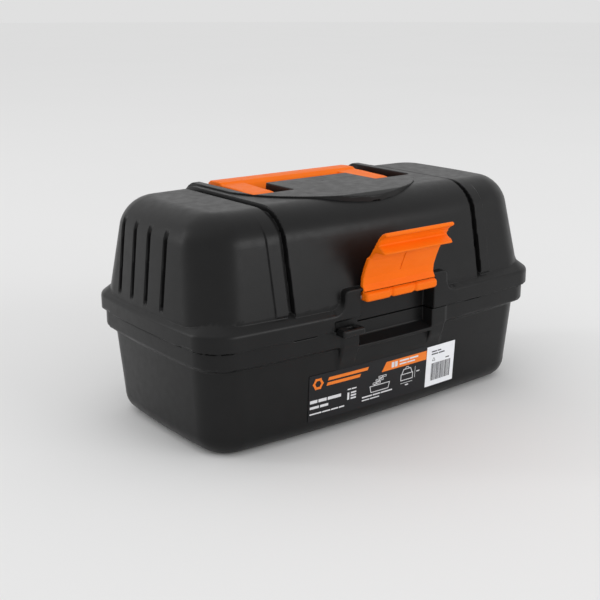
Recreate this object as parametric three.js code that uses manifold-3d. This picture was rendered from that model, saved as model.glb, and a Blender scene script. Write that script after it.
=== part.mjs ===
// A 16-inch plastic toolbox: a deep tub, a hinged lid with a folding handle and a
// finger latch, and three compartment trays that fan out on parallel arms.
// Millimetres. X runs along the length, the front faces -Y, and Z is up.
// The origin is the middle of the bottom face.

import * as THREE from 'three';
import { mergeVertices } from 'three/addons/utils/BufferGeometryUtils.js';
import Module from 'manifold-3d';

const wasm = await Module();
wasm.setup();

// ---- driving dimensions ----

const HALF_LENGTH = 198;      // lid rim at its corners; the bow adds the rest
const HALF_DEPTH = 103;
const BOW_ENDS = 5;           // how far the middle of an end stands out
const BOW_FRONT = 9;          // how far the middle of the front and back stands out
const PARTING_Z = 101.5;      // where lid and tub meet
const GAP = 0.3;              // between pieces that touch
const WALL = 2.8;

const RIM_CORNER = 26;
const TUB_CORNER = 29;
const LID_CORNER = 34;
const TUB_EDGE = 20;          // radius under the tub
const LID_EDGE = 26;          // radius round the top of the lid
const LID_TOP_Z = 210;
const RIM_TOP_Z = 117;
const SHOULDER_Z = 124;       // where the lid wall starts
const WALL_TOP_Z = LID_TOP_Z - LID_EDGE;
const LID_FOOT_INSET = { x: 4, y: 7.5 };       // lid wall behind the rim's face, at its foot
const LID_HEAD_INSET = { x: 10.6, y: 19.5 };   // and where the top rounding starts

const CENTRE_HALF = 111;      // raised middle of the lid
const CENTRE_PROUD = 2;
const GROOVE_HALF = 115.5;
const GROOVE_DEPTH = 3;
const STRIP_HALF = 130;
const STRIP_PROUD = 1.2;
const DECK_HALF = 104;
const DECK_ARC = { radius: 106, y: 27 };
const DECK_PROUD = 3;

const HINGE = { y: 114, z: PARTING_Z };
const KNUCKLE_RADIUS = 4.6;
const TUB_KNUCKLES = [[60, 80], [104, 124]];
const LID_KNUCKLES = [[81, 103]];

const LATCH_AXIS = { y: -108.5, z: 128.5 };
const LATCH_HALF = 44;
const RECESS_HALF = 44.7;
const RECESS_Y = -96.5;
const EAR_HALF = 62.5;

const WELL_HALF = 95;         // handle well
const WELL_FRONT = -20;
const WELL_FLOOR = 192.5;
const TONGUE_HALF = 50;
const TONGUE_BACK = 27;
const HANDLE_AXIS = { y: -8, z: 202.5 };
const HANDLE_ARM = [58, 84];
const GRIP = [45, 80];

const PIN_RADIUS = 2;
const BORE_RADIUS = 2.42;     // ten-sided, so its flats stand clear of the pin

// Distances forward of the hinge and up from it, as the mechanism is set out.
const ARM_FEET = { rear: [40, -11.5], front: [95, -11.5] };
const ARM_PITCH = 39.5;       // between the pivots along an arm
const ARM_ANGLE = THREE.MathUtils.degToRad(45.8);
const TRAY_NAMES = ['lower', 'middle', 'upper'];
const TRAY = { back: 62, front: 190, bottom: 3.5, height: 25.8, half: 165 };
const LINK_FOOT = [35.8, 24.8];
const LINK_LENGTH = 74.7;
const LINK_ANGLE = THREE.MathUtils.degToRad(51.8);
const LINK_HEAD = [82.5, 84];

const ARM_LAYER = [167, 169.4];
const LINK_LAYER = [172.4, 174.8];

const LABEL_PROUD = 0.75;
const FRONT_LABEL = { x: [-94, 46.9], z: [18, 62] };
const PRICE_STICKER = { x: [47.5, 86], z: [18.7, 60] };

// ---- materials ----

const plastic = (color, roughness) =>
  new THREE.MeshStandardMaterial({ color, roughness, metalness: 0 });
const BLACK = plastic(0x2a2a2b, 0.55);
const ORANGE = plastic(0xf47a2a, 0.4);
const GREY = plastic(0x3a3b3d, 0.5);
const FILM = plastic(0x1d1e20, 0.3);
const PAPER = plastic(0xe9e9ea, 0.6);
const STEEL = new THREE.MeshStandardMaterial({ color: 0xb8babd, roughness: 0.35, metalness: 1 });

// ---- solids ----

const toolbox = new THREE.Group();

function solid(geometry) {
  const bare = geometry.index ? geometry.toNonIndexed() : geometry.clone();
  for (const name of Object.keys(bare.attributes)) {
    if (name !== 'position') bare.deleteAttribute(name);
  }
  const merged = mergeVertices(bare, 1e-4);
  const mesh = new wasm.Mesh({
    numProp: 3,
    vertProperties: new Float32Array(merged.attributes.position.array),
    triVerts: new Uint32Array(merged.index.array),
  });
  mesh.merge();
  return new wasm.Manifold(mesh);
}

function place(name, body, material) {
  const { vertProperties, triVerts } = body.getMesh();
  const geometry = new THREE.BufferGeometry();
  geometry.setAttribute('position', new THREE.BufferAttribute(new Float32Array(vertProperties), 3));
  geometry.setIndex(new THREE.BufferAttribute(new Uint32Array(triVerts), 1));
  geometry.computeVertexNormals();
  const mesh = new THREE.Mesh(geometry, material);
  mesh.name = name;
  toolbox.add(mesh);
}

const join = (...bodies) => bodies.reduce((all, next) => all.add(next));
const both = (make) => join(make(-1), make(1));

function block(x, y, z) {
  const geometry = new THREE.BoxGeometry(x[1] - x[0], y[1] - y[0], z[1] - z[0]);
  return solid(geometry.translate((x[0] + x[1]) / 2, (y[0] + y[1]) / 2, (z[0] + z[1]) / 2));
}

// The same block on the side of X that `side` names, 1 or -1.
function sideBlock(side, x, y, z) {
  return block(x.map((value) => side * value).sort((a, b) => a - b), y, z);
}

function rod(x, at, radius, segments = 10) {
  const [low, high] = [Math.min(...x), Math.max(...x)];
  const geometry = new THREE.CylinderGeometry(radius, radius, high - low, segments);
  return solid(geometry.rotateZ(Math.PI / 2).translate((low + high) / 2, at.y, at.z));
}

// An outline of [y, z] points drawn out along X.
function alongX(points, x) {
  const shape = new THREE.Shape(points.map(([y, z]) => new THREE.Vector2(y, z)));
  const [low, high] = [Math.min(...x), Math.max(...x)];
  const geometry = new THREE.ExtrudeGeometry(shape, { depth: high - low, bevelEnabled: false });
  const turn = new THREE.Matrix4().makeBasis(
    new THREE.Vector3(0, 1, 0), new THREE.Vector3(0, 0, 1), new THREE.Vector3(1, 0, 0));
  return solid(geometry.applyMatrix4(turn).translate(low, 0, 0));
}

// An outline of [x, z] points drawn out along Y.
function alongY(points, y) {
  const shape = new THREE.Shape(points.map(([x, z]) => new THREE.Vector2(x, z)));
  const geometry = new THREE.ExtrudeGeometry(shape, { depth: y[1] - y[0], bevelEnabled: false });
  return solid(geometry.rotateX(Math.PI / 2).translate(0, y[1], 0));
}

// An outline of [x, y] points drawn out along Z.
function alongZ(points, z) {
  const shape = new THREE.Shape(points.map(([x, y]) => new THREE.Vector2(x, y)));
  const geometry = new THREE.ExtrudeGeometry(shape, { depth: z[1] - z[0], bevelEnabled: false });
  return solid(geometry.translate(0, 0, z[0]));
}

// A rectangle with round corners whose four sides bow outward.
function outline(insetX, insetY, corner) {
  const CORNER_STEPS = 5;
  const SIDE_STEPS = 5;
  const halfX = HALF_LENGTH - insetX;
  const halfY = HALF_DEPTH - insetY;
  const centreX = halfX - corner;
  const centreY = halfY - corner;
  const points = [];
  for (const [sx, sy, start] of [[1, 1, 0], [-1, 1, 1], [-1, -1, 2], [1, -1, 3]]) {
    const nextX = start % 2 ? sx * centreX : -sx * centreX;
    const nextY = start % 2 ? -sy * centreY : sy * centreY;
    let last;
    for (let i = 0; i <= CORNER_STEPS; i++) {
      const angle = (start + i / CORNER_STEPS) * Math.PI / 2;
      last = [sx * centreX + corner * Math.cos(angle), sy * centreY + corner * Math.sin(angle)];
      points.push(last);
    }
    const toX = start % 2 ? last[0] : nextX;
    const toY = start % 2 ? nextY : last[1];
    for (let i = 1; i < SIDE_STEPS; i++) {
      const t = i / SIDE_STEPS;
      points.push([last[0] + (toX - last[0]) * t, last[1] + (toY - last[1]) * t]);
    }
  }
  return points.map(([x, y]) => [
    x + BOW_ENDS * (x / halfX) * (1 - (y / halfY) ** 2),
    y + BOW_FRONT * (y / halfY) * (1 - (x / halfX) ** 2),
  ]);
}

// A skin over outlines at rising levels [z, insetX, insetY, corner], capped at both ends.
function loft(levels) {
  const rings = levels.map(([z, insetX, insetY, corner]) =>
    outline(insetX, insetY, corner).map(([x, y]) => [x, y, z]));
  const count = rings[0].length;
  const vertices = rings.flat();
  const faces = [];
  for (let level = 0; level + 1 < rings.length; level++) {
    for (let i = 0; i < count; i++) {
      const a = level * count + i;
      const b = level * count + (i + 1) % count;
      faces.push(a, b, b + count, a, b + count, a + count);
    }
  }
  const caps = [[0, levels[0][0], 1], [(rings.length - 1) * count, levels.at(-1)[0], 0]];
  for (const [first, z, down] of caps) {
    const middle = vertices.push([0, 0, z]) - 1;
    for (let i = 0; i < count; i++) {
      const a = first + i;
      const b = first + (i + 1) % count;
      faces.push(middle, down ? b : a, down ? a : b);
    }
  }
  const geometry = new THREE.BufferGeometry();
  geometry.setAttribute('position', new THREE.Float32BufferAttribute(vertices.flat(), 3));
  geometry.setIndex(faces);
  return solid(geometry);
}

// Levels of a quarter-round edge, from the wall (0) to the flat (1).
function edgeLevels(z, rise, insetX, insetY, corner, radius) {
  return [0, 0.3, 0.6, 0.85, 1].map((t) => {
    const angle = t * Math.PI / 2;
    const inward = radius * (1 - Math.cos(angle));
    return [z + rise * radius * Math.sin(angle), insetX + inward, insetY + inward,
      Math.max(corner - inward / 2, 6)];
  });
}

// Forward of and above the hinge, to a point in the part's own frame.
const fromHinge = ([forward, up]) => ({ y: HINGE.y - forward, z: HINGE.z + up });

// ---- tub ----

function tubBody(grow) {
  return loft([
    ...edgeLevels(TUB_EDGE, -1, 13 - grow, 13 - grow, TUB_CORNER, TUB_EDGE + grow).reverse(),
    [80, 9 - grow, 9 - grow, TUB_CORNER],
    [92, 8.5 - grow, 8.5 - grow, TUB_CORNER],
  ]);
}

function tubShell() {
  const top = PARTING_Z - GAP / 2;
  const rim = loft([
    [79.5, 9.5, 9.5, TUB_CORNER], [86, 3, 3, RIM_CORNER], [top, 3, 3, RIM_CORNER]]);
  const follow = loft([[60, 3, 3, RIM_CORNER], [top, 3, 3, RIM_CORNER]]);
  const bulge = follow.intersect(alongX(
    [[-112, top], [-112, 78], [-103, 66], [-90, 66], [-90, top]], [-64, 64]));
  let outer = join(tubBody(0), rim, bulge);

  const recess = join(
    alongX([[-130, 82.3], [-109, 82.3], [-98, 87], [RECESS_Y, 89], [RECESS_Y, 110], [-130, 110]],
      [-RECESS_HALF, RECESS_HALF]),
    block([-RECESS_HALF, RECESS_HALF], [-130, -103.3], [55, 79.6]));
  outer = outer.subtract(recess);

  // Padlock eye on the left of the latch, above the parting line.
  outer = outer.add(alongZ([[-71, -104], [-71, -117], [-68, -120], [-49, -120], [-46, -117],
    [-46, -104]], [97, 104]).subtract(block([-75, -40], [-108.4, -100], [top, 110])));

  let cavity = loft([
    ...edgeLevels(TUB_EDGE, -1, 13 + WALL, 13 + WALL, TUB_CORNER - WALL, TUB_EDGE - WALL).reverse(),
    [83, 9 + WALL, 9 + WALL, TUB_CORNER - WALL],
    [88, 3 + WALL, 3 + WALL, RIM_CORNER - WALL],
    [110, 3 + WALL, 3 + WALL, RIM_CORNER - WALL]]);
  cavity = cavity.subtract(block([-74, RECESS_HALF + WALL], [-130, RECESS_Y + WALL], [76, top]));
  const armBosses = both((side) => join(...Object.values(ARM_FEET).map((foot) => {
    const { y, z } = fromHinge(foot);
    return sideBlock(side, [ARM_LAYER[1] + GAP, 200], [y - 7, y + 7], [z - 8, z + 7]);
  })));
  outer = outer.subtract(cavity.subtract(armBosses));

  for (const [near, far] of TUB_KNUCKLES) {
    outer = outer.add(both((side) => join(
      rod([side * near, side * far], HINGE, KNUCKLE_RADIUS, 14),
      sideBlock(side, [near, far], [104.5, HINGE.y], [90, PARTING_Z - 0.6]))));
  }
  const bores = [
    block([-62, -55], [-117.4, -111.4], [90, 110]),
    both((side) => rod([side * 50, side * 140], HINGE, BORE_RADIUS)),
    ...Object.values(ARM_FEET).map((foot) =>
      both((side) => rod([side * 160, side * 177], fromHinge(foot), BORE_RADIUS))),
  ];
  return bores.reduce((body, bore) => body.subtract(bore), outer);
}

// ---- lid ----

// The lid's wall and top, grown outward from the plain end portions.
function lidBody(grow, start = 112) {
  const foot = [LID_FOOT_INSET.x - grow, LID_FOOT_INSET.y - grow, LID_CORNER];
  const head = [LID_HEAD_INSET.x - grow, LID_HEAD_INSET.y - grow, LID_CORNER];
  return loft([
    [start, ...foot],
    [SHOULDER_Z, ...foot],
    ...edgeLevels(WALL_TOP_Z, 1, ...head, LID_EDGE).map((level) =>
      [level[0] + grow, ...level.slice(1)]),
  ]);
}

function endSlots(side, depth, spread) {
  return join(...[48, 24, -1, -28].map((y) => {
    const bow = BOW_ENDS * (y / HALF_DEPTH) ** 2;
    const draft = (LID_HEAD_INSET.x - LID_FOOT_INSET.x) / (WALL_TOP_Z - SHOULDER_Z);
    const wall = (z) => 203 - bow - LID_FOOT_INSET.x - (z - SHOULDER_Z) * draft;
    const half = 2.75 + spread;
    return alongY([[126 - spread, 1], [190 + spread, 1], [195 + spread, -depth],
      [123 - spread, -depth]].map(([z, out]) =>
      [side * (wall(z) + (out > 0 ? 12 : out)), z]), [y - half, y + half]);
  }));
}

function lidShell() {
  const bottom = PARTING_Z + GAP / 2;
  const rim = loft([[bottom, 0, 0, RIM_CORNER], [RIM_TOP_Z - 3.5, 0, 0, RIM_CORNER],
    [RIM_TOP_Z - 1, 0.8, 0.8, RIM_CORNER], [RIM_TOP_Z + 0.4, 2.6, 2.6, RIM_CORNER],
    [RIM_TOP_Z + 4.5, 10, 10, LID_CORNER]]);
  const slab = (near, far, low = 90) => join(
    both((side) => sideBlock(side, [near, far], [-140, 140], [low, 240])));
  let outer = join(rim, lidBody(0),
    lidBody(STRIP_PROUD).intersect(block([-STRIP_HALF, STRIP_HALF], [-140, 140], [118, 206])),
    lidBody(CENTRE_PROUD).intersect(block([-CENTRE_HALF, CENTRE_HALF], [-140, 140], [118, 240])));
  outer = outer.subtract(
    slab(CENTRE_HALF, GROOVE_HALF, SHOULDER_Z - 2).subtract(lidBody(-GROOVE_DEPTH)));

  // Deck with a round front edge that overhangs the lid's top rounding.
  const arc = [];
  const reach = Math.asin(DECK_HALF / DECK_ARC.radius);
  for (let i = 0; i <= 20; i++) {
    const angle = -reach + (2 * reach * i) / 20;
    arc.push([DECK_ARC.radius * Math.sin(angle), DECK_ARC.y - DECK_ARC.radius * Math.cos(angle)]);
  }
  const deck = alongZ([...arc, [DECK_HALF, 95], [-DECK_HALF, 95]], [196, 230])
    .intersect(lidBody(DECK_PROUD));
  outer = outer.add(deck);

  // Ears beside the latch, standing on the rim.
  const ear = [[-112.6, 112], [-112.6, 132], [-111, 135.6], [-107, 137], [-98, 137], [-98, 112]];
  outer = outer.add(both((side) => alongX(ear, [side * RECESS_HALF, side * EAR_HALF])));

  // Hollow, kept clear of everything that thickens the wall from inside.
  let cavity = loft([[90, WALL, WALL, RIM_CORNER - WALL], [113, WALL, WALL, RIM_CORNER - WALL],
    [120, LID_FOOT_INSET.x + WALL, LID_FOOT_INSET.y + WALL, LID_CORNER - WALL],
    ...edgeLevels(WALL_TOP_Z, 1, LID_HEAD_INSET.x + WALL, LID_HEAD_INSET.y + WALL,
      LID_CORNER - WALL, LID_EDGE - WALL)]);
  cavity = cavity
    .subtract(block([-74, 74], [-130, -104], [90, 122]))
    .subtract(block([-RECESS_HALF - WALL, RECESS_HALF + WALL], [-130, RECESS_Y + WALL], [90, 137]))
    .subtract(slab(CENTRE_HALF - WALL, GROOVE_HALF + WALL, 118)
      .subtract(lidBody(-GROOVE_DEPTH - WALL)))
    .subtract(both((side) => endSlots(side, 3.5 + WALL, WALL)))
    .subtract(block([-WELL_HALF - WALL, WELL_HALF + WALL], [WELL_FRONT - WALL, 130],
      [WELL_FLOOR - WALL, 230]))
    .add(block([-TONGUE_HALF + WALL, TONGUE_HALF - WALL],
      [WELL_FRONT + WALL, TONGUE_BACK - WALL], [180, 207]));
  const foot = fromHinge(LINK_FOOT);
  cavity = cavity.subtract(both((side) => join(
    rod([side * (LINK_LAYER[1] + GAP), side * 200], foot, 6, 12))));
  outer = outer.subtract(cavity);

  const well = block([-WELL_HALF, WELL_HALF], [WELL_FRONT, 140], [WELL_FLOOR, 240]).subtract(
    block([-TONGUE_HALF, TONGUE_HALF], [-60, TONGUE_BACK], [150, 250]));
  outer = outer.subtract(well)
    .subtract(both((side) => endSlots(side, 3.5, 0)))
    .subtract(block([-RECESS_HALF, RECESS_HALF], [-130, RECESS_Y], [90, 134]))
    .subtract(block([-72.5, -44], [-130, -106.5], [90, 111]));

  for (const [near, far] of LID_KNUCKLES) {
    outer = outer.add(both((side) => join(
      rod([side * near, side * far], HINGE, KNUCKLE_RADIUS, 14),
      sideBlock(side, [near, far], [105, HINGE.y], [PARTING_Z + 0.6, 113]))));
  }
  for (const [near, far] of TUB_KNUCKLES) {
    outer = outer.subtract(both((side) =>
      rod([side * (near - 0.5), side * (far + 0.5)], HINGE, KNUCKLE_RADIUS + 0.7, 14)));
  }
  const bores = [
    both((side) => rod([side * 50, side * 140], HINGE, BORE_RADIUS)),
    both((side) => rod([side * 160, side * 181], foot, BORE_RADIUS)),
    rod([-61.5, 61.5], LATCH_AXIS, BORE_RADIUS),
    both((side) => rod([side * 40, side * 99], HANDLE_AXIS, BORE_RADIUS)),
  ];
  return bores.reduce((body, bore) => body.subtract(bore), outer);
}

// ---- latch and handle ----

function latch() {
  const plate = [[-117, 125.5], [-117, 131], [-110.5, 133], [-109, 137], [-113, 150], [-116, 158],
    [-119, 164], [-124, 171.5], [-138, 168.6], [-140, 170.4], [-132, 180], [-141.5, 184.4],
    [-141.5, 187.6], [-129, 187.6], [-119.5, 173], [-112.5, 160], [-109.5, 151], [-105.3, 137],
    [-104.6, 130], [-106, 125.5], [-109, 124.4]];
  const body = alongX(plate, [-LATCH_HALF, LATCH_HALF]);
  const splits = [-13, 15].map((x) => block([x - 0.5, x + 0.5], [-118, -113.5], [120, 134]));
  return splits.reduce((all, split) => all.subtract(split), body)
    .subtract(rod([-60, 60], LATCH_AXIS, BORE_RADIUS));
}

function handle() {
  const { y, z } = HANDLE_AXIS;
  const arm = [[50, 197], [50, 209.5], [y + 4, 211]];
  for (let i = 0; i <= 6; i++) {
    const angle = Math.PI / 2 + (Math.PI * i) / 6;
    arm.push([y + 8.4 * Math.cos(angle), z + 8.4 * Math.sin(angle)]);
  }
  const grip = [[GRIP[0] + 3, 195], [GRIP[0], 199], [GRIP[0] + 1, 206], [GRIP[0] + 7, 210.5],
    [GRIP[0] + 18, 212], [GRIP[1] - 7, 210.5], [GRIP[1], 205], [GRIP[1], 199], [GRIP[1] - 4, 195]];
  return join(
    both((side) => alongX(arm, HANDLE_ARM.map((x) => side * x))),
    alongX(grip, [-HANDLE_ARM[1], HANDLE_ARM[1]]),
  ).subtract(rod([-120, 120], HANDLE_AXIS, BORE_RADIUS + 0.1));
}

// ---- trays, arms and links ----

// Pivot number `step` of an arm, 0 at its foot.
function armPivot(which, step) {
  const [forward, up] = ARM_FEET[which];
  return fromHinge([forward + step * ARM_PITCH * Math.cos(ARM_ANGLE),
    up + step * ARM_PITCH * Math.sin(ARM_ANGLE)]);
}

function tray(level) {
  const rise = level * ARM_PITCH * Math.sin(ARM_ANGLE);
  const low = fromHinge([TRAY.front, TRAY.bottom + rise]);
  const high = fromHinge([TRAY.back, TRAY.bottom + TRAY.height + rise]);
  const half = TRAY.half;
  const corner = 7;
  const plan = [];
  const corners = [[1, 1, 0], [-1, 1, 1], [-1, -1, 2], [1, -1, 3]];
  for (const [sx, sy, start] of corners) {
    for (let i = 0; i <= 3; i++) {
      const angle = (start + i / 3) * Math.PI / 2;
      plan.push([sx * (half - corner) + corner * Math.cos(angle),
        (low.y + high.y) / 2 + sy * ((high.y - low.y) / 2 - corner) + corner * Math.sin(angle)]);
    }
  }
  let body = alongZ(plan, [low.z, high.z]);

  // Six compartments in the front row and five in the rear row.
  const wall = 2;
  const divide = low.y + 62;
  for (const [count, front, back] of [[6, low.y + wall, divide], [5, divide + wall, high.y - wall]]) {
    const width = (2 * half - wall * (count + 1)) / count;
    for (let i = 0; i < count; i++) {
      const x = -half + wall + i * (width + wall);
      const inset = 0.8;
      body = body.subtract(block([x + inset, x + width - inset], [front + inset, back - inset],
        [low.z + wall, high.z + 5]));
    }
  }

  // Bosses that hold the arms off the ends of the tray.
  const pivots = ['rear', 'front'].map((which) => armPivot(which, level + 1));
  for (const pivot of pivots) {
    body = body.add(both((side) =>
      rod([side * (half - 1), side * (ARM_LAYER[0] - GAP)], pivot, 4.5, 12)));
  }
  const lug = fromHinge(LINK_HEAD);
  if (level === 2) {
    body = body.add(both((side) => join(
      sideBlock(side, [half - 4, half], [lug.y - 9, lug.y + 9], [high.z - 6, lug.z + 4.4]),
      rod([side * (half - 1), side * (LINK_LAYER[0] - GAP)], lug, 4.4, 12))));
    pivots.push(lug);
  }
  return pivots.reduce((all, pivot) =>
    all.subtract(both((side) => rod([side * 158, side * 180], pivot, BORE_RADIUS))), body);
}

// A flat bar in the plane of the ends, with a hole at each of its pivots.
function bar(pivots, layer, side, halfWidth, holes) {
  const first = pivots[0];
  const last = pivots.at(-1);
  const lean = Math.atan2(last.z - first.z, last.y - first.y);
  const edge = [];
  for (const [end, start] of [[last, lean - Math.PI / 2], [first, lean + Math.PI / 2]]) {
    for (let i = 0; i <= 6; i++) {
      const angle = start + (Math.PI * i) / 6;
      edge.push([end.y + halfWidth * Math.cos(angle), end.z + halfWidth * Math.sin(angle)]);
    }
  }
  const body = alongX(edge, layer.map((x) => side * x));
  return pivots.reduce((all, pivot, i) =>
    all.subtract(rod([side * 150, side * 190], pivot, holes[i])), body);
}

// A shaft with a flat head at its `head` end; both ends are distances from the middle.
function headedPin(side, at, head, tip, radius = PIN_RADIUS) {
  const away = Math.sign(tip - head);
  return join(
    rod([side * (head + away * 0.5), side * tip], at, radius),
    rod([side * head, side * (head + away * 1)], at, 3.6));
}

// ---- assembly ----

place('tub', tubShell(), BLACK);
place('lid', lidShell(), BLACK);
place('latch', latch(), ORANGE);
place('handle', handle(), ORANGE);
place('latch_rod', rod([-60.8, 60.8], LATCH_AXIS, PIN_RADIUS), STEEL);

TRAY_NAMES.forEach((name, level) => place(`tray_${name}`, tray(level), GREY));

for (const [side, hand] of [[-1, 'left'], [1, 'right']]) {
  const sided = (low, high) => [side * low, side * high];
  place(`hinge_rod_${hand}`, rod(sided(58, 126), HINGE, PIN_RADIUS), STEEL);
  place(`handle_pin_${hand}`, rod(sided(48, 97.4), HANDLE_AXIS, PIN_RADIUS), STEEL);

  for (const which of ['rear', 'front']) {
    const pivots = [0, 1, 2, 3].map((step) => armPivot(which, step));
    place(`arm_${which}_${hand}`,
      bar(pivots, ARM_LAYER, side, 5.5, pivots.map(() => BORE_RADIUS)), GREY);
    place(`tub_pin_${which}_${hand}`,
      headedPin(side, pivots[0], ARM_LAYER[0] - GAP - 1, 175), STEEL);
    TRAY_NAMES.forEach((name, level) => place(`pin_${name}_${which}_${hand}`,
      headedPin(side, pivots[level + 1], ARM_LAYER[1] + GAP + 1, 163.4), STEEL));
  }

  const foot = fromHinge(LINK_FOOT);
  const head = { y: foot.y - LINK_LENGTH * Math.cos(LINK_ANGLE),
    z: foot.z + LINK_LENGTH * Math.sin(LINK_ANGLE) };
  place(`lid_link_${hand}`, bar([foot, head], LINK_LAYER, side, 6, [BORE_RADIUS, 3.3]), GREY);
  place(`lid_link_pin_${hand}`, headedPin(side, foot, LINK_LAYER[0] - GAP - 0.9, 180), STEEL);
  place(`tray_link_pin_${hand}`,
    headedPin(side, fromHinge(LINK_HEAD), LINK_LAYER[1] + GAP + 1, 162), STEEL);
}

// Sheets that follow the front of the tub, a gap away from it.
const sheet = tubBody(LABEL_PROUD).subtract(tubBody(GAP));
const label = ({ x, z }) => sheet.intersect(block(x, [-130, -60], z));
place('front_label', label(FRONT_LABEL), FILM);
place('price_sticker', label(PRICE_STICKER), PAPER);

export default toolbox;
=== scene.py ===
"""The toolbox's looks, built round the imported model: moulded shells, trays, latch, handle,
arms, pins and labels, each with its own procedural material, on a pale studio floor."""

import math

import bpy
import numpy as np
from mathutils import Matrix, Vector


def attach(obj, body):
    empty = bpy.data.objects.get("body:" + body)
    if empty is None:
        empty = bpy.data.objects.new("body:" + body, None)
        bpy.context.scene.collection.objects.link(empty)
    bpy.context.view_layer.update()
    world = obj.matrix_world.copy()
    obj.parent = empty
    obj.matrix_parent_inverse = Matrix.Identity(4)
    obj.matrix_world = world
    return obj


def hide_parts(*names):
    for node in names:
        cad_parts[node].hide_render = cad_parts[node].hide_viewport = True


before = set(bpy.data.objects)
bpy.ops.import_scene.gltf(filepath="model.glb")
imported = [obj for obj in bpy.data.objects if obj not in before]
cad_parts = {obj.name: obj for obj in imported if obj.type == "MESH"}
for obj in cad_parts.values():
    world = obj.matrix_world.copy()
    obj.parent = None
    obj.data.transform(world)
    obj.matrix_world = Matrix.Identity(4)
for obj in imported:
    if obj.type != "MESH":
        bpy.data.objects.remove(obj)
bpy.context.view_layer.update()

MM = 0.001

# ---- driving dimensions, in millimetres ----
#
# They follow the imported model. The gap at the parting line, the lid's relief and the deck's
# overhang are set here for the looks, and can differ from it a little.

HALF_LENGTH, HALF_DEPTH = 198.0, 103.0      # lid rim at its corners
BOW_ENDS, BOW_FRONT = 5.0, 9.0              # how far the middles of the sides stand out
PARTING, GAP = 101.5, 0.4                   # where lid and tub meet, and half the gap there
WALL = 2.8
RIM_CORNER, TUB_CORNER, LID_CORNER = 26.0, 29.0, 34.0
TUB_EDGE, LID_EDGE = 20.0, 26.0
LID_TOP = 210.0
SHOULDER = 124.0                            # above this the lid's walls lean in
LID_FOOT, LID_LEAN = (4.0, 7.5), (0.11, 0.2)    # inset at the shoulder, and lean, in x and y
LID_RAISED, GROOVE_DEPTH, STRIP_PROUD, SLOT_DEPTH = 1.5, 4.2, 1.6, 4.4
LEDGE = 116.0                               # top of the rim's outer face
CENTRE, GROOVE, STRIP = 111.0, 117.3, 130.0
TUB_HOLLOW_TOP, LID_HOLLOW_FOOT = 108.0, 92.0   # the hollows run on past the parting line
HINGE = (114.0, 101.5)
KNUCKLE = 4.6
TUB_KNUCKLES = ((60, 80), (104, 124))
LID_KNUCKLES = ((81, 103),)
LATCH_AXIS = (-108.5, 128.5)
LATCH_HALF = 44.0
RECESS_HALF, RECESS_Y = 44.7, -96.5
EAR_HALF = 62.5
WELL_HALF, WELL_FRONT, WELL_FLOOR = 95.0, -20.0, 192.5
TONGUE_HALF, TONGUE_BACK = 50.0, 27.0
DECK_HALF, DECK_ARC, DECK_ARC_Y, DECK_PROUD = 104.0, 106.0, 27.0, 3.0
DECK_OVERHANG, DECK_FOOT = 1.6, 205.0
HANDLE_AXIS = (-8.0, 202.5)
HANDLE_ARM, GRIP = (58.0, 84.0), (45.0, 80.0)
SLOTS_Y = (48.0, 24.0, -1.0, -28.0)         # grooves in the ends of the lid
ARM_FEET = {"rear": (40.0, -11.5), "front": (95.0, -11.5)}
ARM_PITCH, ARM_ANGLE = 39.5, math.radians(45.8)
TRAYS = ("lower", "middle", "upper")
TRAY_BACK, TRAY_FRONT, TRAY_BOTTOM, TRAY_HEIGHT, TRAY_HALF = 62.0, 190.0, 3.5, 25.8, 165.0
LINK_FOOT, LINK_HEAD = (35.8, 24.8), (82.5, 84.0)
LINK_LENGTH, LINK_ANGLE = 74.7, math.radians(51.8)
ARM_LAYER, LINK_LAYER = (167.0, 169.4), (172.4, 174.8)
PIN_RADIUS = 2.0
LABEL_X, LABEL_Z = (-94.0, 46.9), (18.0, 62.0)
STICKER_X, STICKER_Z = (47.5, 86.0), (18.7, 60.0)
HANDS = ((-1, "left"), (1, "right"))


# ---- fields: negative inside, in millimetres ----

def smooth(edge0, edge1, value):
    t = np.clip((value - edge0) / (edge1 - edge0), 0, 1)
    return t * t * (3 - 2 * t)


def union(a, b, r=0.0):
    if r <= 0:
        return np.minimum(a, b)
    return np.maximum(r, np.minimum(a, b)) - np.hypot(np.maximum(r - a, 0), np.maximum(r - b, 0))


def common(a, b, r=0.0):
    return -union(-a, -b, r)


def cut(a, b, r=0.0):
    return common(a, -b, r)


def slab(value, low, high):
    """Distance to low <= value <= high."""
    return np.maximum(low - value, value - high)


def box_field(p, x, y, z, r):
    """A box with round edges between the given pairs of limits."""
    return rounded_block(zip(p, (x, y, z)), r)


def rounded_block(spans, r):
    """A block from (coordinate, limits) pairs, in two or three dimensions."""
    q = [abs(v - (a + b) / 2) - (b - a) / 2 + r for v, (a, b) in spans]
    deepest = q[0]
    for v in q[1:]:
        deepest = np.maximum(deepest, v)
    return np.sqrt(sum(np.maximum(v, 0) ** 2 for v in q)) + np.minimum(deepest, 0) - r


def drum(p, at, radius, x, r=0.4):
    """A cylinder along X between two distances from the middle."""
    around = np.hypot(p[1] - at[0], p[2] - at[1]) - radius
    return common(around, slab(p[0], min(x), max(x)), r)


def plan_field(p, inset_x, inset_y, corner):
    """The bowed round-cornered outline, drawn in by the insets."""
    x, y = p[0], p[1]
    half_x, half_y = HALF_LENGTH - inset_x, HALF_DEPTH - inset_y
    u = x / (1 + BOW_ENDS / half_x * (1 - np.minimum((y / half_y) ** 2, 1)))
    v = y / (1 + BOW_FRONT / half_y * (1 - np.minimum((x / half_x) ** 2, 1)))
    qx, qy = abs(u) - half_x + corner, abs(v) - half_y + corner
    return np.hypot(np.maximum(qx, 0), np.maximum(qy, 0)) + np.minimum(np.maximum(qx, qy), 0) - corner


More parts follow.
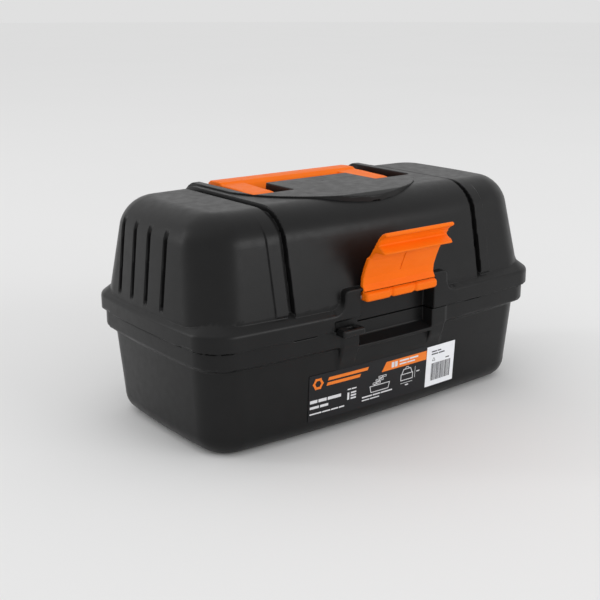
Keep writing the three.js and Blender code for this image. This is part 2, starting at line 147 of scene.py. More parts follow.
def outline_field(u, v, points):
    """Signed distance to a closed polygon of (u, v) points."""
    best = np.full(np.broadcast(u, v).shape, 1e9)
    inside = np.zeros(best.shape, bool)
    for (au, av), (bu, bv) in zip(points, points[1:] + points[:1]):
        du, dv = bu - au, bv - av
        t = np.clip(((u - au) * du + (v - av) * dv) / (du * du + dv * dv), 0, 1)
        best = np.minimum(best, (u - au - t * du) ** 2 + (v - av - t * dv) ** 2)
        inside ^= ((av > v) != (bv > v)) & (u < du * (v - av) / (dv if dv else 1e-9) + au)
    return np.where(inside, -1, 1) * np.sqrt(best)


def chain(u, v, points, half):
    """Distance to a bent strip of the given half thickness through (u, v) points."""
    best = np.full(np.broadcast(u, v).shape, 1e9)
    for (au, av), (bu, bv) in zip(points, points[1:]):
        du, dv = bu - au, bv - av
        t = np.clip(((u - au) * du + (v - av) * dv) / (du * du + dv * dv), 0, 1)
        best = np.minimum(best, (u - au - t * du) ** 2 + (v - av - t * dv) ** 2)
    return np.sqrt(best) - half


# ---- a mesh over a field ----

def ticks(low, high, coarse, features=(), near=(-1.2, -0.4, 0.4, 1.2)):
    """Grid lines from low to high: close together round each feature, evenly spaced between."""
    marks = sorted({low, high, *(f + d for f in features for d in near if low < f + d < high)})
    kept = [marks[0]]
    for mark in marks[1:]:
        if mark - kept[-1] > 0.35:
            kept.append(mark)
    lines = [kept[0]]
    for a, b in zip(kept, kept[1:]):
        steps = math.ceil((b - a) / coarse)
        lines += [a + (b - a) * i / steps for i in range(1, steps + 1)]
    return np.array(lines)


def without_chequers(value):
    """Grid values in which no face has its inside corners only on a diagonal, so that every
    edge of the mesh has just two faces."""
    for _ in range(30):
        found = 0
        for a, b in ((0, 1), (0, 2), (1, 2)):
            ends = {}
            for i in (0, 1):
                for j in (0, 1):
                    span = [slice(None)] * 3
                    span[a], span[b] = slice(i, i - 1 or None), slice(j, j - 1 or None)
                    ends[i, j] = value[tuple(span)]
            inside = {key: part < 0 for key, part in ends.items()}
            mixed = (inside[0, 0] == inside[1, 1]) & (inside[1, 0] == inside[0, 1])
            mixed &= inside[0, 0] != inside[1, 0]
            found += mixed.sum()
            for one, other in (((0, 0), (1, 1)), ((1, 0), (0, 1))):
                first = mixed & ~inside[one] & (ends[one] <= ends[other])
                second = mixed & ~inside[one] & ~first
                ends[one][first] = -1e-3
                ends[other][second] = -1e-3
        if not found:
            break
    return value


def skin(name, field, xs, ys, zs, settle=4, place=None):
    """A closed quad mesh where the field is zero, on a grid with uneven lines, with its
    vertices drawn onto the surface and its normals taken from the field. `place` is a matrix
    that turns and moves it into the toolbox's frame."""
    grid = (xs[:, None, None], ys[None, :, None], zs[None, None, :])
    value = np.broadcast_to(field(grid), (len(xs), len(ys), len(zs))).astype(np.float64)
    value = without_chequers(np.where(abs(value) < 1e-6, 1e-6, value))
    inside = value < 0
    corner = [(i, j, k) for i in (0, 1) for j in (0, 1) for k in (0, 1)]
    shape = tuple(n - 1 for n in value.shape)

    def shifted(a, c):
        return a[c[0]:c[0] + shape[0], c[1]:c[1] + shape[1], c[2]:c[2] + shape[2]]

    count = sum(shifted(inside, c).astype(np.int8) for c in corner)
    active = np.argwhere((count > 0) & (count < 8))
    index = np.full(shape, -1, np.int64)
    index[tuple(active.T)] = np.arange(len(active))
    lines = (xs, ys, zs)
    total, hits = np.zeros((len(active), 3)), np.zeros(len(active))
    for c in corner:
        for axis in range(3):
            if c[axis]:
                continue
            a = active + np.array(c)
            b = a.copy()
            b[:, axis] += 1
            va, vb = value[tuple(a.T)], value[tuple(b.T)]
            crossed = (va < 0) != (vb < 0)
            t = np.where(crossed, va / np.where(crossed, va - vb, 1), 0)
            for k in range(3):
                pa, pb = lines[k][a[:, k]], lines[k][b[:, k]]
                total[:, k] += np.where(crossed, pa + t * (pb - pa), 0)
            hits += crossed
    points = total / hits[:, None]
    size = np.stack([np.diff(lines[k])[active[:, k]] for k in range(3)], 1)
    start = points.copy()
    for _ in range(settle):
        slope, here = gradient(field, points)
        step = -here[:, None] * slope / np.maximum((slope ** 2).sum(1), 0.05)[:, None]
        points = np.clip(points + step, start - 0.75 * size, start + 0.75 * size)
    slope, _ = gradient(field, points)
    normals = slope / np.maximum(np.linalg.norm(slope, axis=1), 1e-9)[:, None]

    quads = []
    for axis in range(3):
        other = [k for k in range(3) if k != axis]
        low, high = [slice(None)] * 3, [slice(None)] * 3
        low[axis], high[axis] = slice(0, -1), slice(1, None)
        change = inside[tuple(low)] != inside[tuple(high)]
        at = np.argwhere(change)
        keep = np.all([(at[:, k] > 0) & (at[:, k] < value.shape[k] - 1) for k in other], axis=0)
        at = at[keep]
        ring = []
        for da, db in ((-1, -1), (0, -1), (0, 0), (-1, 0)):
            cell = at.copy()
            cell[:, other[0]] += da
            cell[:, other[1]] += db
            ring.append(index[tuple(cell.T)])
        ring = np.stack(ring, 1)
        flip = inside[tuple(at.T)] == (axis == 1)
        ring[flip] = ring[flip][:, ::-1]
        quads.append(ring)
    quads = np.concatenate(quads)
    if place is not None:
        points = points @ place[:3, :3].T + place[:3, 3]
        normals = normals @ place[:3, :3].T
    return new_mesh(name, points * MM, quads, normals)


def gradient(field, points, h=0.02):
    """The field's slope at each point, by differences over `h`, and its value there."""
    def at(offset):
        moved = points + offset
        return np.asarray(field((moved[:, 0], moved[:, 1], moved[:, 2])), float)
    here = at(np.zeros(3))
    slope = np.stack([(at(np.eye(3)[k] * h) - at(-np.eye(3)[k] * h)) / (2 * h)
                      for k in range(3)], 1)
    return slope, here


def new_object(name, data):
    made = bpy.data.objects.new(name, data)
    bpy.context.scene.collection.objects.link(made)
    return made


def new_mesh(name, points, faces, normals=None):
    """A smooth mesh object from equal-sided faces, with a normal for each vertex if given."""
    data = bpy.data.meshes.new(name)
    data.from_pydata([], [], [])
    data.vertices.add(len(points))
    data.vertices.foreach_set("co", np.asarray(points, np.float32).ravel())
    sides = np.asarray(faces).shape[1]
    data.loops.add(len(faces) * sides)
    data.loops.foreach_set("vertex_index", np.asarray(faces, np.int32).ravel())
    data.polygons.add(len(faces))
    data.polygons.foreach_set("loop_start", np.arange(0, len(faces) * sides, sides, dtype=np.int32))
    data.update(calc_edges=True)
    data.polygons.foreach_set("use_smooth", np.ones(len(faces), bool))
    if normals is not None:
        data.normals_split_custom_set_from_vertices([tuple(n) for n in normals])
    return new_object(name, data)


def moulded(name, solid, hollow, added=()):
    """One closed skin: the solid, joined with the added parts, less the hollow. Each of them is
    a field and its grid lines, and each face keeps the normals of the field it lies on."""
    piece = skin(name, *solid)
    tools = [(part, "UNION") for part in added] + [(hollow, "DIFFERENCE")]
    others = []
    for i, (part, operation) in enumerate(tools):
        other = skin(f"{name}_{i}", *part)
        others.append(other)
        tool = piece.modifiers.new(f"part_{i}", "BOOLEAN")
        tool.operation, tool.solver, tool.object = operation, "MANIFOLD", other
    graph = bpy.context.evaluated_depsgraph_get()
    data = bpy.data.meshes.new_from_object(piece.evaluated_get(graph))
    piece.modifiers.clear()
    piece.data = data
    data.name = name
    for other in others:
        bpy.data.objects.remove(other)

    corners, sides = np.zeros(len(data.loops), np.int32), np.zeros(len(data.polygons), np.int32)
    data.loops.foreach_get("vertex_index", corners)
    data.polygons.foreach_get("loop_total", sides)
    points, middles = np.zeros(len(data.vertices) * 3), np.zeros(len(data.polygons) * 3)
    data.vertices.foreach_get("co", points)
    data.polygons.foreach_get("center", middles)
    points, middles = points.reshape(-1, 3) / MM, middles.reshape(-1, 3).T / MM
    fields = [solid[0], *(part[0] for part in added), hollow[0]]
    own = np.argmin([abs(field(tuple(middles))) for field in fields], axis=0)
    own = np.repeat(own, sides)
    normals = np.zeros((len(corners), 3))
    for i, field in enumerate(fields):
        slope, _ = gradient(field, points)
        facing = -1 if field is hollow[0] else 1
        normals[own == i] = facing * slope[corners[own == i]]
    normals /= np.maximum(np.linalg.norm(normals, axis=1), 1e-9)[:, None]
    data.polygons.foreach_set("use_smooth", np.ones(len(data.polygons), bool))
    data.normals_split_custom_set([tuple(n) for n in normals])
    return piece


def both_sides(*values):
    """Each value and its negative, for things that are the same left and right."""
    return [sign * v for v in values for sign in (-1, 1)]


def mirrored(p):
    return abs(p[0]), p[1], p[2]


def from_hinge(point):
    """(forward, up) of the hinge, as (y, z)."""
    return HINGE[0] - point[0], HINGE[1] + point[1]


# ---- the tub ----

def tub_inset(z):
    return 13 - 4 * np.clip((z - TUB_EDGE) / 60, 0, 1.1)


def tub_wall(p):
    inset = tub_inset(p[2])
    return common(plan_field(p, inset, inset, TUB_CORNER), -p[2], TUB_EDGE)


def tub_rim(p):
    side = plan_field(p, 3, 3, RIM_CORNER)
    return np.maximum(common(side, (85 + 0.35 * side - p[2]) / 1.06, 1.6), 74 - p[2])


def tub_recess(p):
    """The catch for the latch, with a finger hollow under its ledge."""
    upper = outline_field(p[1], p[2], [(-150, 82.4), (-109.6, 82.4), (-98, 87),
                                       (RECESS_Y, 89), (RECESS_Y, 130), (-150, 130)])
    lower = box_field(p, (-RECESS_HALF, RECESS_HALF), (-150, -103.2), (58, 79.7), 0.8)
    return np.minimum(common(upper, abs(p[0]) - RECESS_HALF, 0.6), lower)


def tub_solid(p):
    q = mirrored(p)
    side = plan_field(p, 3, 3, RIM_CORNER)
    bulge = common(common(side, q[0] - 64, 3), (78 + 2 * side - p[2]) / 2.24, 3)
    bulge = np.maximum(bulge, np.maximum(p[1] + 60, 40 - p[2]))
    body = union(union(tub_wall(p), tub_rim(p), 2.0), bulge, 3)
    body = cut(body, tub_recess(p), 0.9)
    body = common(body, p[2] - (PARTING - GAP), 0.4)

    eye = box_field(p, (-71, -46), (-120, -100), (97, 104), 2.4)
    eye = cut(eye, box_field(p, (-62, -55), (-117.4, -111.4), (80, 120), 1.5), 0.8)
    eye = cut(eye, box_field(p, (-80, -40), (-108.4, -80), (PARTING - GAP, 140), 0.3), 0.5)
    body = union(body, eye, 1.0)
    body = cut(body, box_field(p, (-62, -55), (-117.4, -111.4), (90, 120), 1.5), 0.8)
    for near, far in TUB_KNUCKLES:
        web = box_field(q, (near, far), (104.5, 116), (90, PARTING - 0.8), 1.5)
        body = union(body, union(drum(q, HINGE, KNUCKLE, (near, far), 0.8), web, 2), 1.0)
    return body


def tub_hollow(p):
    q = mirrored(p)
    wall = union(tub_wall(p), tub_rim(p), 2.0)
    hollow = cut(wall, tub_recess(p), 1) + WALL
    for foot in ARM_FEET.values():
        y, z = from_hinge(foot)
        boss = box_field(q, (ARM_LAYER[1] + 0.3, 230), (y - 7, y + 7), (z - 8, z + 7), 2)
        hollow = cut(hollow, boss, 2)
    return np.maximum(hollow, p[2] - TUB_HOLLOW_TOP)


def make_tub():
    xs = ticks(-206, 206, 4.5, both_sides(RECESS_HALF, 64, 60, 80, 104, 124) + [-71, -46, -62, -55])
    ys = ticks(-124, 122, 4.5, [-120, -117.4, -111.4, -108.4, -103.2, RECESS_Y, 104.5, 109.4, 118.6])
    zs = ticks(-3, 108, 4.0, [79.7, 82.4, 91, 97, 101.3, 104])
    feet = [from_hinge(foot)[0] + d for foot in ARM_FEET.values() for d in (-7, 7)]
    inner_x = ticks(-206, 206, 6.0, both_sides(RECESS_HALF + WALL, 169.7), (-1.4, 1.4))
    inner_y = ticks(-124, 122, 6.0, [RECESS_Y + WALL, *feet], (-1.4, 1.4))
    inner_z = ticks(-3, 112, 5.0, [WALL, 82, 97, 108], (-1.4, 1.4))
    return moulded("tub_shell", (tub_solid, xs, ys, zs), (tub_hollow, inner_x, inner_y, inner_z))


# ---- the lid ----

def lid_wall(p, grow=0.0):
    rise = np.clip(p[2] - SHOULDER, 0, 100)
    insets = (foot + lean * rise - grow for foot, lean in zip(LID_FOOT, LID_LEAN))
    plan = plan_field(p, *insets, LID_CORNER)
    return common(plan, p[2] - LID_TOP - grow, LID_EDGE)


def lid_relief(p):
    """How far the lid's surface stands out: raised middle, grooves, strips and end slots."""
    across, z = abs(p[0]), p[2]
    past_centre = smooth(CENTRE - 0.5, CENTRE + 0.5, across)
    past_groove = smooth(GROOVE - 0.5, GROOVE + 0.5, across)
    past_strip = smooth(STRIP - 0.4, STRIP + 0.4, across)
    fade = smooth(122, 124, z) * (1 - smooth(190, 207, z))
    out = LID_RAISED * (1 - past_centre) - GROOVE_DEPTH * (past_centre - past_groove)
    out = out + STRIP_PROUD * (past_groove - past_strip) * fade
    slots = sum(1 - smooth(1.8, 3.4, abs(p[1] - y)) for y in SLOTS_Y)
    length = smooth(123.5, 128, z) * (1 - smooth(183, 196, z))
    return out - SLOT_DEPTH * slots * length * smooth(150, 160, across)


def deck_field(p):
    """The raised deck, whose round front edge overhangs the lid's top rounding."""
    x, y, z = p
    front = np.hypot(x, y - DECK_ARC_Y) - DECK_ARC
    plan = np.maximum(abs(x) - DECK_HALF, np.where(y < DECK_ARC_Y, front, -1e3))
    top = np.maximum(lid_wall(p, DECK_PROUD + DECK_OVERHANG), z - LID_TOP - DECK_PROUD)
    return np.maximum(common(plan, top, 0.5), DECK_FOOT - z)


def handle_well(p, spare=0.0):
    well = box_field(p, (-WELL_HALF - spare, WELL_HALF + spare), (WELL_FRONT - spare, 170),
                     (WELL_FLOOR, 280), 3)
    tongue = box_field(p, (-TONGUE_HALF + spare, TONGUE_HALF - spare), (-60, TONGUE_BACK - spare),
                       (150, 280), 3)
    return cut(well, tongue, 1.5)


def deck_plate(p):
    gate = np.hypot(p[0] - 3, p[1] - 5) / 9
    plate = deck_field(p) + 0.35 * np.exp(-gate ** 2) - 0.5 * np.exp(-(gate * 5) ** 2)
    return cut(plate, handle_well(p, 0.12), 0.8)


def lid_rim(p):
    side = plan_field(p, 0, 0, RIM_CORNER)
    return np.maximum(common(side, (p[2] - LEDGE + 0.7 * side) / 1.22, 1.8), p[2] - 130)


def lid_recess(p):
    return box_field(p, (-RECESS_HALF, RECESS_HALF), (-160, RECESS_Y), (60, 134), 1.0)


def lid_notch(p):
    return box_field(p, (-72.5, -40), (-160, -106.5), (60, 111), 1.5)


def lid_ear(q):
    """An ear flush with the rim's face, swept down to the ledge in a concave curve."""
    side = plan_field(q, 0, 0, RIM_CORNER)
    upright = rounded_block(((q[0], (RECESS_HALF - 8, EAR_HALF)), (q[2], (60, 137))), 5.5)
    ledge = (q[2] - LEDGE + 0.7 * np.clip(side, -9, 0)) / 1.1
    face = np.maximum(union(upright, ledge, 10), q[0] - EAR_HALF - 12)
    return common(common(face, side, 1.2), np.maximum(q[1] + 98, 104 - q[2]), 0.5)


def lid_outside(p):
    body = union(lid_wall(p) - lid_relief(p), lid_rim(p), 0.4)
    return cut(body, handle_well(p), 0.8)


def lid_solid(p):
    q = mirrored(p)
    body = lid_outside(p)
    body = union(body, lid_ear(q), 0.4)
    body = cut(body, lid_recess(p), 0.8)
    body = cut(body, lid_notch(p), 0.8)
    body = common(body, PARTING + GAP - p[2], 0.4)
    for near, far in LID_KNUCKLES:
        web = box_field(q, (near, far), (105, 115), (PARTING + 0.8, 113), 1.5)
        body = union(body, union(drum(q, HINGE, KNUCKLE, (near, far), 0.8), web, 2), 1.0)
    for near, far in TUB_KNUCKLES:
        body = cut(body, drum(q, HINGE, KNUCKLE + 0.8, (near - 0.6, far + 0.6)), 0.5)
    return body


def lid_hollow(p):
    q = mirrored(p)
    hollow = cut(cut(lid_outside(p), lid_recess(p), 1), lid_notch(p), 1) + WALL
    boss = drum(q, from_hinge(LINK_FOOT), 6, (LINK_LAYER[1] + 0.3, 230))
    hollow = cut(hollow, boss, 1.5)
    hollow = cut(hollow, box_field(q, (30, 74), (-130, -104), (60, 121), 2), 1)
    return np.maximum(hollow, LID_HOLLOW_FOOT - p[2])


def make_lid():
    slots = [y + d for y in SLOTS_Y for d in (-2.7, 2.7)]
    xs = ticks(-208, 208, 3.4, both_sides(
        RECESS_HALF, EAR_HALF, TONGUE_HALF, WELL_HALF, DECK_HALF, CENTRE, GROOVE, STRIP, 80.6, 124.6))
    ys = ticks(-118, 122, 3.4, [-113, -108.5, -106, -104, RECESS_Y, WELL_FRONT, TONGUE_BACK, 105,
                                118.6, *slots])
    zs = ticks(95, 214, 3.6, [101.9, 111, LEDGE, 118.8, 121.4, 134, 137, WELL_FLOOR, 211.2])
    inner_x = ticks(-208, 208, 6.0, both_sides(
        TONGUE_HALF - WALL, WELL_HALF + WALL, 108.2, 118.3, 175), (-1.4, 1.4))
    inner_y = ticks(-118, 122, 6.0, [RECESS_Y + WALL, WELL_FRONT - WALL,
                                     *(y + d for y in SLOTS_Y for d in (-5, 5))], (-1.2, 1.2))
    inner_z = ticks(88, 214, 6.0, [92, 113, 128, WELL_FLOOR - WALL, LID_TOP - WALL], (-1.4, 1.4))
    deck = (deck_plate, ticks(-107, 107, 1.9, both_sides(TONGUE_HALF, WELL_HALF), (-0.5, 0.5)),
            ticks(-82, 98, 1.9, [WELL_FRONT, TONGUE_BACK], (-0.5, 0.5)),
            np.array([204.5, 205.5, 207.5, 209.5, 211, 212, 212.5, 213.5]))
    return moulded("lid_shell", (lid_solid, xs, ys, zs),
                   (lid_hollow, inner_x, inner_y, inner_z), [deck])


# ---- latch and handle ----

LATCH_PLATE = [(-112.4, 132.8), (-109.2, 138.5), (-110.0, 146), (-113, 154.5), (-116.9, 163.3),
               (-121.6, 170.2), (-127.2, 178)]
LATCH_RIM = [(-127.2, 178), (-130.2, 183.4), (-133.6, 186.6), (-137, 188.2)]
LATCH_HOOK = [(-121, 170.6), (-136.4, 171.0), (-136.9, 172.0), (-129.8, 176.4), (-127, 179)]
LATCH_SPLITS = (-13, 15)
FLAP_HALF = 43.0


def latch_field(p):
    """A bar in three rounded lengths with an upright plate, which ends in a gutter between a
    rim and a hook."""
    x, y, z = p
    ends = (-LATCH_HALF + 0.5, *LATCH_SPLITS, LATCH_HALF - 0.5)
    bar = box_field(p, (ends[0] + 1, ends[-1] - 1), (-116, -104.8), (125.6, 132), 1.6)
    for a, b in zip(ends, ends[1:]):
        bar = union(bar, box_field(p, (a + 0.4, b - 0.4), (-117.6, -106), (124.4, 132.9), 3.0), 0.3)
    plate = chain(y, z, LATCH_PLATE, 1.9)
    score = box_field(p, (-0.4, 0.4), (-140, -100), (148, 166), 0.2)
    plate = np.maximum(plate, np.minimum(-score, plate + 0.6))
    gutter = union(chain(y, z, LATCH_RIM, 1.8), outline_field(y, z, LATCH_HOOK) - 0.5, 0.8)
    half = FLAP_HALF - 1.5 * smooth(164.5, 165.6, z)
    flap = common(union(plate, gutter, 0.8), abs(x) - half, 0.9)
    foot = box_field(p, (-60, 60), (-125, -112.4), (132.6, 133.4), 0.3)
    return union(bar, cut(flap, foot, 0.3), 0.5)


def make_latch():
    xs = ticks(-47, 47, 3.5, both_sides(LATCH_HALF, 42.8) + [-0.4, 0.4, *LATCH_SPLITS],
               (-0.9, -0.3, 0.3, 0.9))
    return skin("latch_moulding", latch_field, xs, ticks(-143, -101, 0.9), ticks(122, 193, 0.95))


GRIP_SECTION = [(45.2, 197.4), (44.6, 199.6), (46.2, 203.2), (50.6, 208.4), (54.6, 211.0),
                (62, 211.4), (72.6, 210.8), (78, 206), (78.2, 199.6), (75.6, 197.2)]


def handle_field(p):
    """Two flat arms with rounded noses and a contoured grip, one moulding."""
    q = mirrored(p)
    top = 209.4 + 1.2 * smooth(0, 48, q[1]) - 0.020 * np.maximum(6 - q[1], 0) ** 2
    arm = box_field(q, HANDLE_ARM, (HANDLE_AXIS[0] - 30, GRIP[1] - 3), (196, 230), 1.6)
    arm = common(arm, q[2] - top, 1.3)
    nose = np.hypot(q[1] - HANDLE_AXIS[0], q[2] - HANDLE_AXIS[1]) - 8.4
    arm = common(arm, np.where(q[1] < HANDLE_AXIS[0], nose, -1e3), 1.0)
    grip = outline_field(q[1], q[2], GRIP_SECTION) - 1.5
    grip = common(grip, q[0] - HANDLE_ARM[1], 1.4)
    corner = 9 - np.hypot(np.maximum(q[0] - HANDLE_ARM[1] + 9, 0), np.maximum(q[1] - GRIP[1] + 9, 0))
    gusset = np.maximum((HANDLE_ARM[0] + GRIP[0] - 6 - q[0] - q[1]) / 1.414, slab(q[2], 198, 207))
    gusset = np.maximum(gusset, np.maximum(q[0] - HANDLE_ARM[0] - 2, q[1] - GRIP[0] - 2))
    return common(union(union(arm, grip, 0.6), gusset, 1.0), -corner, 1.0)


def make_handle():
    xs = ticks(-87, 87, 3.2, both_sides(*HANDLE_ARM), (-1.8, -0.9, -0.3, 0.3))
    ys = ticks(-20, 84, 1.9, [44.4, 80], (-1, 0, 1))
    return skin("handle_bail", handle_field, xs, ys, ticks(192, 214, 0.95))


# ---- trays ----

def arm_pivot(which, step):
    """Pivot number `step` of an arm, 0 at its foot, as (y, z)."""
    forward, up = ARM_FEET[which]
    return from_hinge((forward + step * ARM_PITCH * math.cos(ARM_ANGLE),
                       up + step * ARM_PITCH * math.sin(ARM_ANGLE)))


def make_tray(level):
    """Six bins in the front row and five in the rear row, with a proud band round the rim."""
    rise = level * ARM_PITCH * math.sin(ARM_ANGLE)
    front, low = from_hinge((TRAY_FRONT, TRAY_BOTTOM + rise))
    back, high = from_hinge((TRAY_BACK, TRAY_BOTTOM + TRAY_HEIGHT + rise))
    wall, inset, divide = 2.0, 0.8, front + 62
    bins = []
    for count, near, far in ((6, front + wall, divide), (5, divide + wall, back - wall)):
        width = (2 * TRAY_HALF - wall * (count + 1)) / count
        for i in range(count):
            x = -TRAY_HALF + wall + i * (width + wall)
            bins.append(((x + inset, x + width - inset), (near + inset, far - inset)))
    pivots = [arm_pivot(which, level + 1) for which in ARM_FEET]
    lug = from_hinge(LINK_HEAD)

    def rounded(p, grow, z):
        qx = abs(p[0]) - TRAY_HALF - grow + 7
        qy = abs(p[1] - (front + back) / 2) - (back - front) / 2 - grow + 7
        plan = np.hypot(np.maximum(qx, 0), np.maximum(qy, 0)) + np.minimum(np.maximum(qx, qy), 0) - 7
        return common(plan, slab(p[2], *z), 1.0)

    def field(p):
        q = mirrored(p)
        body = union(rounded(p, -0.8, (low, high)), rounded(p, 0, (high - 4, high)), 0.6)
        for pivot in pivots:
            body = union(body, drum(q, pivot, 4.5, (TRAY_HALF - 2, ARM_LAYER[0] - 0.3), 0.5), 0.8)
        if level == 2:
            plate = box_field(q, (TRAY_HALF - 4, TRAY_HALF), (lug[0] - 9, lug[0] + 9),
                              (high - 8, lug[1] + 4.4), 1.5)
            stud = drum(q, lug, 4.4, (TRAY_HALF - 2, LINK_LAYER[0] - 0.3), 0.5)
            body = union(body, union(plate, stud, 0.8), 1.0)
        for x, y in bins:
            if x[1] > 0:
                body = cut(body, box_field(q, x, y, (low + wall, high + 40), 2.2), 0.7)
        return body

    edges = [v for x, _ in bins for v in x]
    xs = ticks(-176, 176, 6.5, edges + both_sides(TRAY_HALF, 164.2, 167), (-1.0, -0.3, 0.4))
    studs = [pivot[0] + d for pivot in pivots for d in (-4.5, 4.5)]
    ys = ticks(front - 3, back + 3, 6.0, [front, back, *studs, *{v for _, y in bins for v in y}],
               (-1.0, -0.3, 0.4))
    zs = ticks(low - 2, max(high, lug[1] + 6 if level == 2 else 0) + 2, 4.0,
               [low, low + wall, high - 4, high, pivots[0][1] - 4.5, pivots[0][1] + 4.5], (-1.0, -0.3, 0.4))
    return skin(f"tray_{TRAYS[level]}_moulding", field, xs, ys, zs)


# ---- arms, links, pins and rods ----

def make_bar(name, pivots, layer, side, half_width, holes):
    """A flat moulded bar with a thick edge and a hole at each pivot, lying between the two
    distances from the middle that `layer` gives."""
    first, last = Vector(pivots[0]), Vector(pivots[-1])
    length, along = (last - first).length, (last - first).normalized()
    at = [(Vector(pivot) - first).dot(along) for pivot in pivots]

    def field(p):
        u, v, w = p
        round_ends = np.hypot(u - np.clip(u, 0, length), v) - half_width
        body = common(round_ends, slab(w, 0, layer[1] - layer[0]), 0.5)
        lane = np.hypot(u - np.clip(u, at[0] + 8, at[-1] - 8), v) - half_width + 2.6
        lane = np.maximum(lane, 7.5 - np.min([abs(u - a) for a in at], axis=0))
        body = cut(body, np.maximum(lane, (layer[1] - layer[0]) - 0.6 - w), 0.4)
        for a, hole in zip(at, holes):
            body = cut(body, np.hypot(u - a, v) - hole, 0.3)
        return body

    reach = half_width + 1.5
    us = ticks(-reach, length + reach, 1.1)
    vs = ticks(-reach, reach, 0.8)
    ws = ticks(-0.8, layer[1] - layer[0] + 0.8, 0.8, [0, layer[1] - layer[0]], (-0.5, -0.15, 0.15, 0.5))
    place = Matrix(((0, 0, side, side * layer[0]),
                    (along[0], -side * along[1], 0, first[0]),
                    (along[1], side * along[0], 0, first[1]),
                    (0, 0, 0, 1)))
    return skin(name, field, us, vs, ws, place=np.array(place))


def make_pin(name, side, at, profile):
    """A turned pin or rod: (distance from the middle, radius) points, spun about its axis."""
    turns, rings = 28, []
    for along, radius in profile:
        rings.append([(side * along * MM, (at[0] + radius * math.cos(a)) * MM,
                       (at[1] + radius * math.sin(a)) * MM)
                      for a in (2 * math.pi * i / turns for i in range(turns))])
    points = [point for ring in rings for point in ring]
    faces = [(r * turns + i, r * turns + (i + 1) % turns, (r + 1) * turns + (i + 1) % turns,
              (r + 1) * turns + i) for r in range(len(rings) - 1) for i in range(turns)]
    data = bpy.data.meshes.new(name)
    data.from_pydata(points, [], [*faces, tuple(range(turns))[::-1],
                                  tuple((len(rings) - 1) * turns + i for i in range(turns))])
    if side * (profile[-1][0] - profile[0][0]) < 0:
        data.flip_normals()
    data.update()
    data.shade_smooth()
    data.set_sharp_from_angle(angle=math.radians(32))
    return new_object(name, data)


def rod_profile(low, high, radius=PIN_RADIUS, nose=0.7):
    """A plain rod whose two ends are rounded off."""
    start = [(low + nose * (1 - math.sin(a)), radius - nose * (1 - math.cos(a)))
             for a in (math.pi / 2, 1.0, 0.5, 0.0)]
    end = [(low + high - along, r) for along, r in reversed(start)]
    return start + end


def headed_profile(head, tip):
    """A shaft with a low domed head at its head end."""
    way = 1 if tip > head else -1
    dome = [(0.0, 1.2), (0.08, 2.3), (0.28, 3.15), (0.55, 3.6), (0.95, 3.6), (1.0, 3.5)]
    return [*((head + way * depth, radius) for depth, radius in dome), (head + way, PIN_RADIUS),
            (tip - way * 0.5, PIN_RADIUS), (tip, PIN_RADIUS - 0.5)]


# ---- labels: thin sheets that follow the front of the tub ----

def front_point(x, z, lift):
    inset = tub_inset(z)
    out = HALF_DEPTH - inset + BOW_FRONT * (1 - (x / (HALF_LENGTH - inset)) ** 2)
    under = max(0.0, (TUB_EDGE - z) / TUB_EDGE)
    out -= TUB_EDGE * (1 - math.sqrt(1 - under ** 2))
    return x * MM, -(out + lift) * MM, z * MM


def printed(name, patches, low, high):
    """Closed sheets between two lifts, each over a patch of four (x, z) corners, anticlockwise."""
    points, faces = [], []
    for a, b, c, d in patches:
        across = max(1, math.ceil(math.dist(a, b) / 5))
        upward = max(1, math.ceil(math.dist(a, d) / 5))
        first = len(points)
        for lift in (high, low):
            for j in range(upward + 1):
                for i in range(across + 1):
                    s, t = i / across, j / upward
                    x, z = ((1 - t) * ((1 - s) * a[k] + s * b[k]) + t * ((1 - s) * d[k] + s * c[k])
                            for k in (0, 1))
                    points.append(front_point(x, z, lift))
        row, layer = across + 1, (across + 1) * (upward + 1)
        for j in range(upward):
            for i in range(across):
                at = first + j * row + i
                face = (at, at + 1, at + row + 1, at + row)
                faces += [face, tuple(v + layer for v in reversed(face))]
        rim = [first + i for i in range(across)]
        rim += [first + across + j * row for j in range(upward)]
        rim += [first + upward * row + across - i for i in range(across)]
        rim += [first + (upward - j) * row for j in range(upward)]
        faces += [(v, v + layer, w + layer, w) for v, w in zip(rim, rim[1:] + rim[:1])]
    data = bpy.data.meshes.new(name)
    data.from_pydata(points, [], faces)
    data.update()
    return new_object(name, data)


def bar(x, z, lean=0.0):
    """A level bar between two x and two z values, its ends leaning by `lean`."""
    return (x[0], z[0]), (x[1], z[0]), (x[1] + lean, z[1]), (x[0] + lean, z[1])


def stroke(a, b, width=0.7):
    """A line of the given width between two (x, z) points."""
    along = (Vector(b) - Vector(a)).normalized() * width / 2
    side = Vector((along[1], -along[0]))
    a, b = Vector(a) - along, Vector(b) + along
    return tuple(tuple(v) for v in (a + side, b + side, b - side, a - side))


def outline_strokes(points, width=0.7):
    return [stroke(a, b, width) for a, b in zip(points, points[1:] + points[:1])]


def ring(centre, radius, corners, width):
    turns = [2 * math.pi * i / corners for i in range(corners)]
    return outline_strokes([(centre[0] + radius * math.cos(a), centre[1] + radius * math.sin(a))
                            for a in turns], width)


def text_bars(x, z, height, words, gap=1.2):
    """A row of plain blocks, one for each width in `words`, where a line of print would be."""
    made = []
    for width in words:
        made.append(bar((x, x + width), (z, z + height)))
        x += width + gap
    return made


def orange_print():
    hexagon = ring((-84.2, 53.2), 4.6, 6, 2.2)
    stripe = [bar((-75, -37), (49.4, 52.4), 1.2), bar((-73.6, -28), (54.2, 57.2), 1.2)]
    return hexagon + stripe + [bar((-10.5, LABEL_X[1]), (48.2, 57.2), 0.0)[:3] + ((-5.3, 57.2),)]


